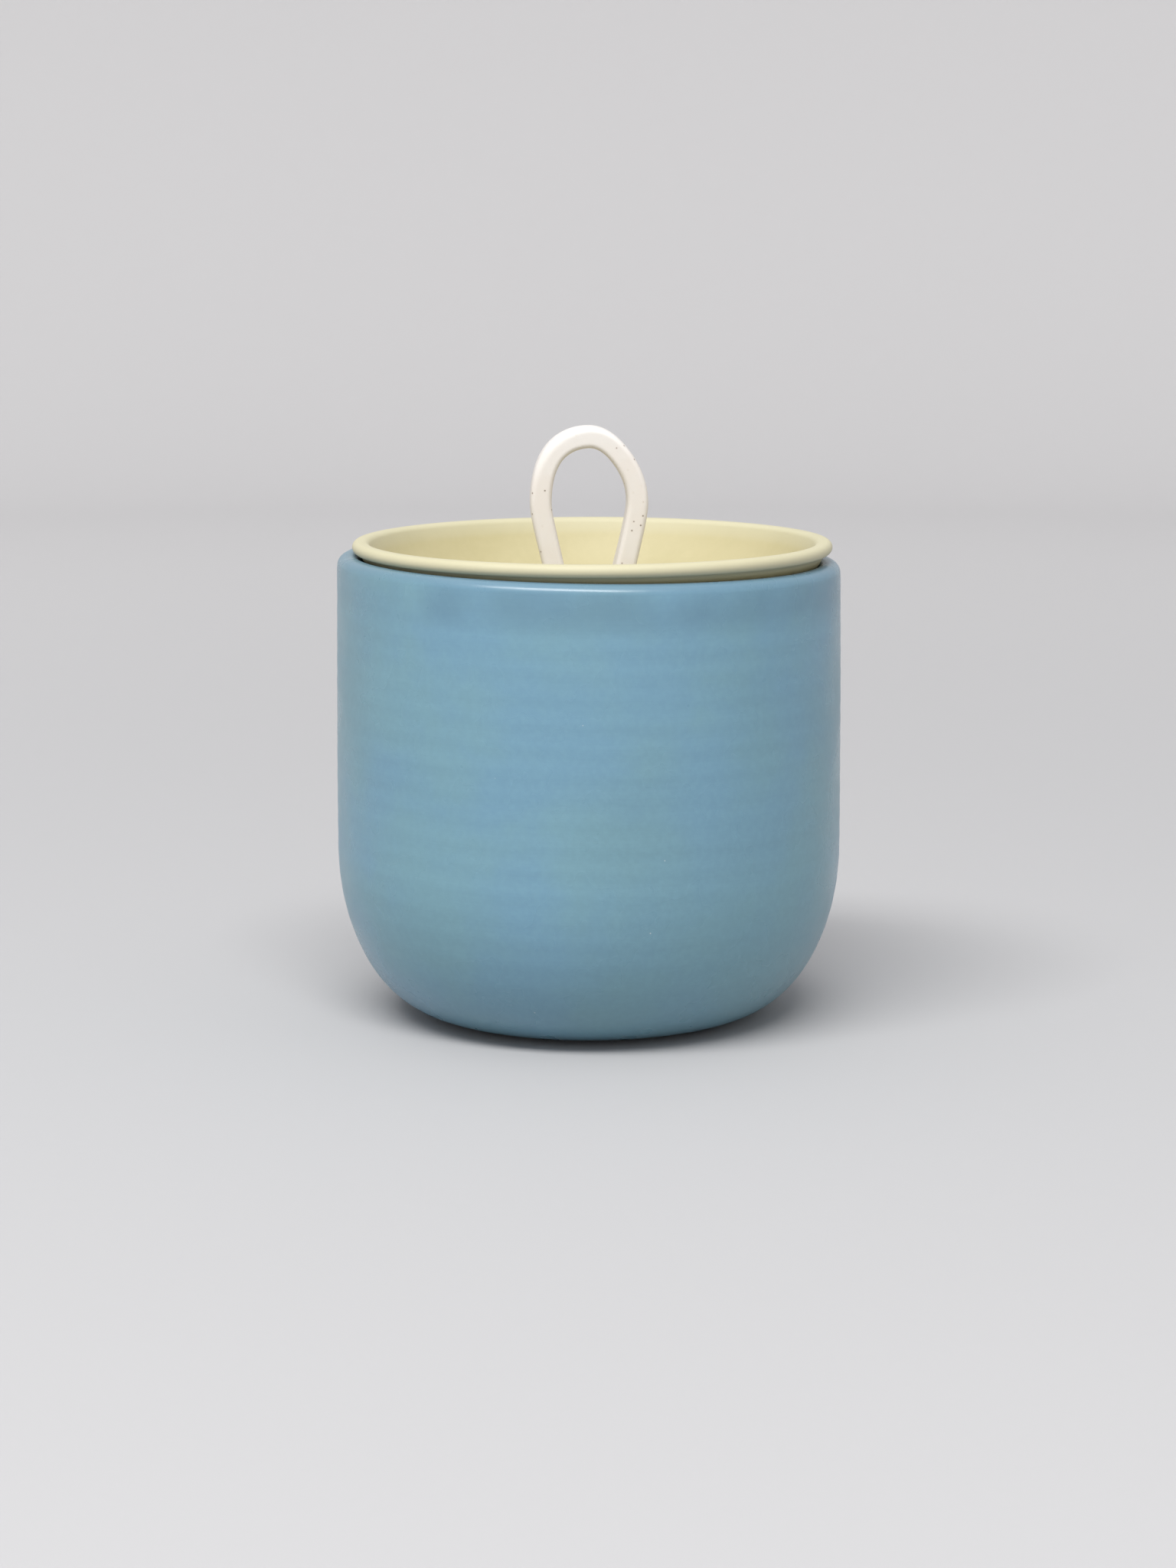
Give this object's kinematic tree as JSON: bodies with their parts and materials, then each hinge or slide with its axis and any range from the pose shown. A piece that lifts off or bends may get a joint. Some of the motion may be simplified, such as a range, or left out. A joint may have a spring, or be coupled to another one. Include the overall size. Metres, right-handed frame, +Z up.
{
  "type": "lidded yarn bowl",
  "caption": "Round-bellied ceramic yarn bowl with a nesting dish-shaped lid that lifts off by an upright clay loop.",
  "frame": {"origin": "centre of the pot's flat foot ring, on the surface that the bowl stands on", "axes": "+Z up along the pot's axis; the loop's opening faces -Y, which is the front; +X to the right seen from the front"},
  "size_m": [0.1504, 0.1504, 0.1755],
  "materials": {
    "pot_glaze": "satin blue-grey glaze, faintly banded",
    "lid_glaze": "satin pale butter-yellow glaze",
    "speckled_clay": "warm off-white clay with sparse iron specks, satin"
  },
  "bodies": {
    "pot": {"pot_body": "pot_glaze"},
    "lid": {"lid_dish": "lid_glaze", "loop_handle": "speckled_clay"}
  },
  "joints": [
    {"name": "lid_lift", "type": "slide", "parent": "pot", "child": "lid", "axis": [0, 0, 1], "range_m": [0, 0.11]}
  ]
}
